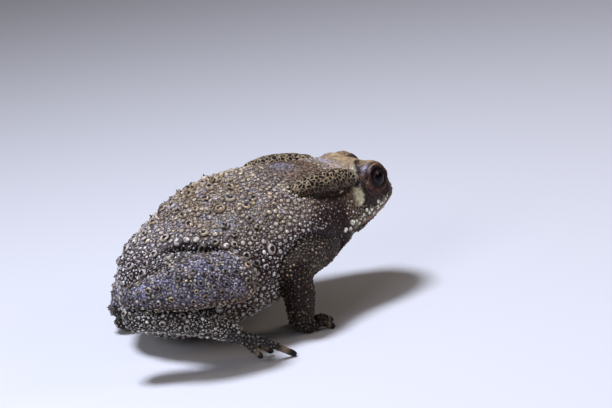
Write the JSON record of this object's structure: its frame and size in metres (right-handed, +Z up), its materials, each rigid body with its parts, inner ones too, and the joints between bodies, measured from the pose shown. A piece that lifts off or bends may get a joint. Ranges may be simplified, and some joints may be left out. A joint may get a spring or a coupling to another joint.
{
  "type": "toad",
  "caption": "Life-size sitting common Asian toad, a still figure with warty skin, ridged crown and long parotoid glands, resting on its hands and toes",
  "frame": {"origin": "middle of the toad's lower face, on the floor it sits on", "axes": "+X towards the snout, +Y to the toad's own left, +Z up; metres"},
  "size_m": [0.1008, 0.0834, 0.0474],
  "materials": {
    "eye": "clear wet gloss over dark brown",
    "eardrum": "smooth thin pale skin",
    "head_skin": "matt tan brown skin with blackish ridges",
    "throat_skin": "matt brown skin, finely grained",
    "gland_skin": "tan net over dark pores",
    "back_skin": "matt dry warty skin, warts pale with dark tips",
    "limb_skin": "matt dry warty skin, greyish brown"
  },
  "bodies": {
    "root": {"eye_left": "eye", "eye_right": "eye", "foot_left": "limb_skin", "foot_right": "limb_skin", "forearm_left": "limb_skin", "forearm_right": "limb_skin", "hand_left": "limb_skin", "hand_right": "limb_skin", "head": "head_skin", "lower_jaw": "throat_skin", "parotoid_left": "gland_skin", "parotoid_right": "gland_skin", "shank_left": "limb_skin", "shank_right": "limb_skin", "thigh_left": "limb_skin", "thigh_right": "limb_skin", "trunk": "back_skin", "tympanum_left": "eardrum", "tympanum_right": "eardrum", "upper_arm_left": "limb_skin", "upper_arm_right": "limb_skin"}
  },
  "joints": []
}
